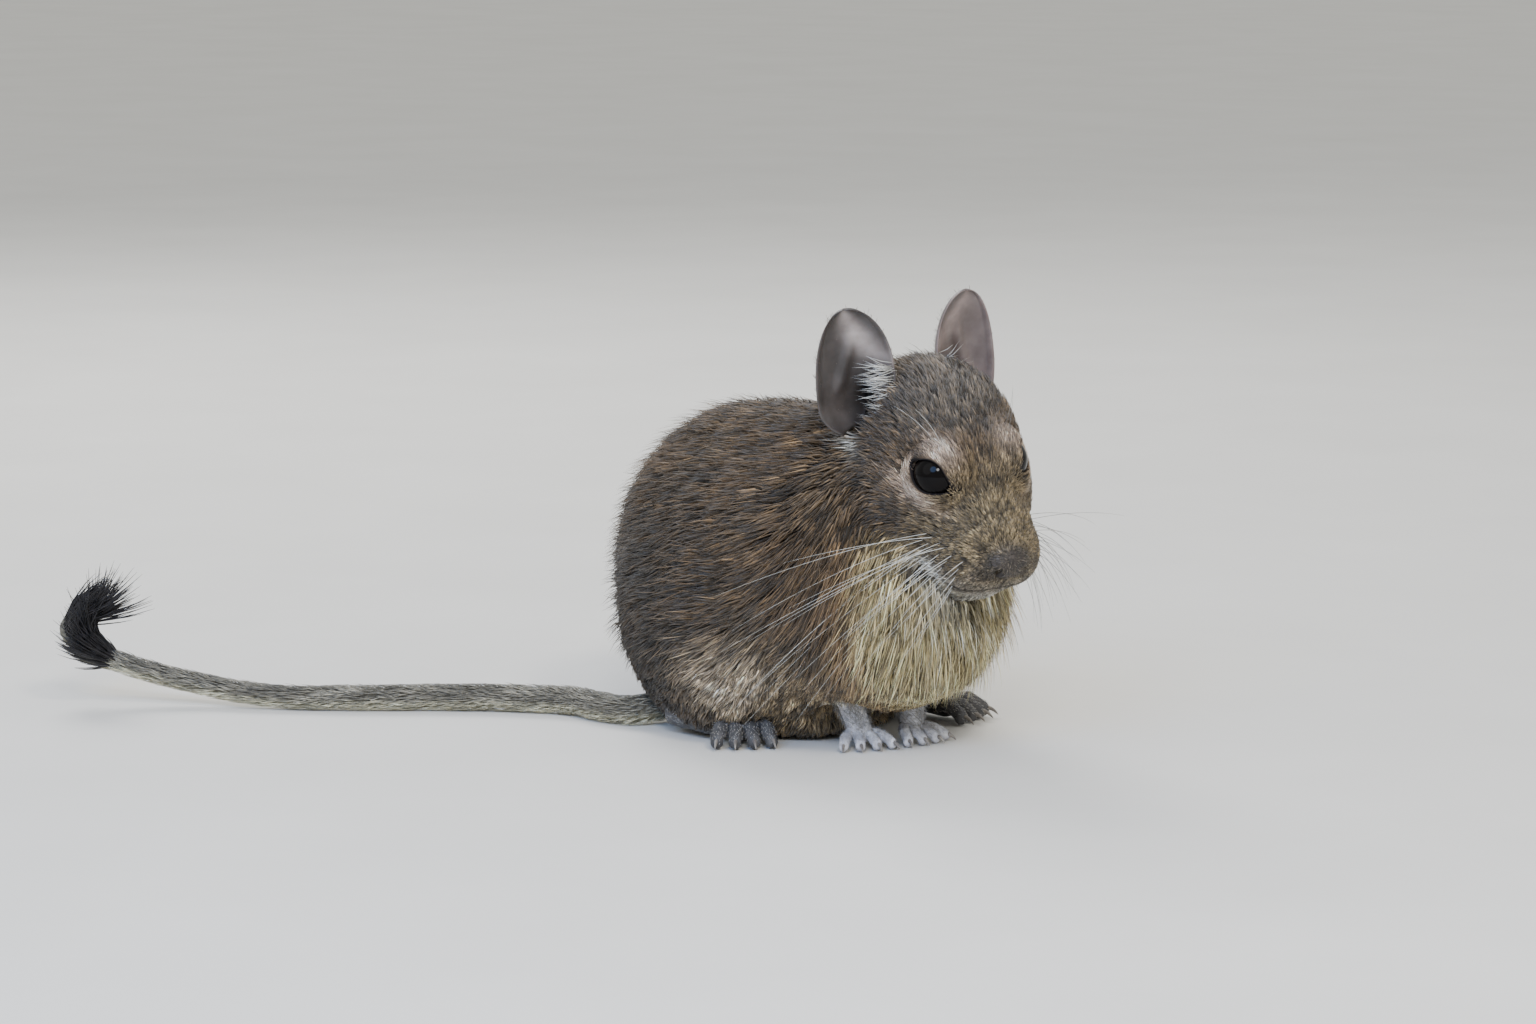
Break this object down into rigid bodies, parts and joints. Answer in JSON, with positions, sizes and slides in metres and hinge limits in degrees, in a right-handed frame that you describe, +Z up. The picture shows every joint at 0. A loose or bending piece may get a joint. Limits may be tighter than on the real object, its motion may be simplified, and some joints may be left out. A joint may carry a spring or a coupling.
{
  "type": "degu museum model",
  "caption": "Life-size degu, a small brown rodent with rounded ears and a tufted tail, crouched with its belly on the ground and its head turned slightly",
  "frame": {"origin": "on the ground under the middle of the belly", "axes": "+X runs along the body towards the chest and is the longest extent, +Y points to the animal's left, +Z is up"},
  "size_m": [0.1804, 0.1559, 0.0932],
  "materials": {
    "coat": "short dense agouti fur, grey brown ticked with buff",
    "pale_coat": "cream buff fur of the underside and chest",
    "foot_skin": "bare bluish grey skin with fine pale hairs",
    "ear_skin": "thin bare grey purple skin with a soft sheen",
    "eye": "wet glossy black",
    "tuft": "coarse black bristle"
  },
  "bodies": {
    "root": {"head": "coat", "neck": "coat", "torso": "coat", "hind_leg_left": "coat", "hind_leg_right": "coat", "foreleg_left": "pale_coat", "foreleg_right": "pale_coat", "hind_foot_left": "foot_skin", "hind_foot_right": "foot_skin", "forefoot_left": "foot_skin", "forefoot_right": "foot_skin", "ear_left": "ear_skin", "ear_right": "ear_skin", "eye_left": "eye", "eye_right": "eye", "tail_base": "coat", "tail_middle": "coat", "tail_tip": "coat", "tail_tuft": "tuft"}
  },
  "joints": []
}
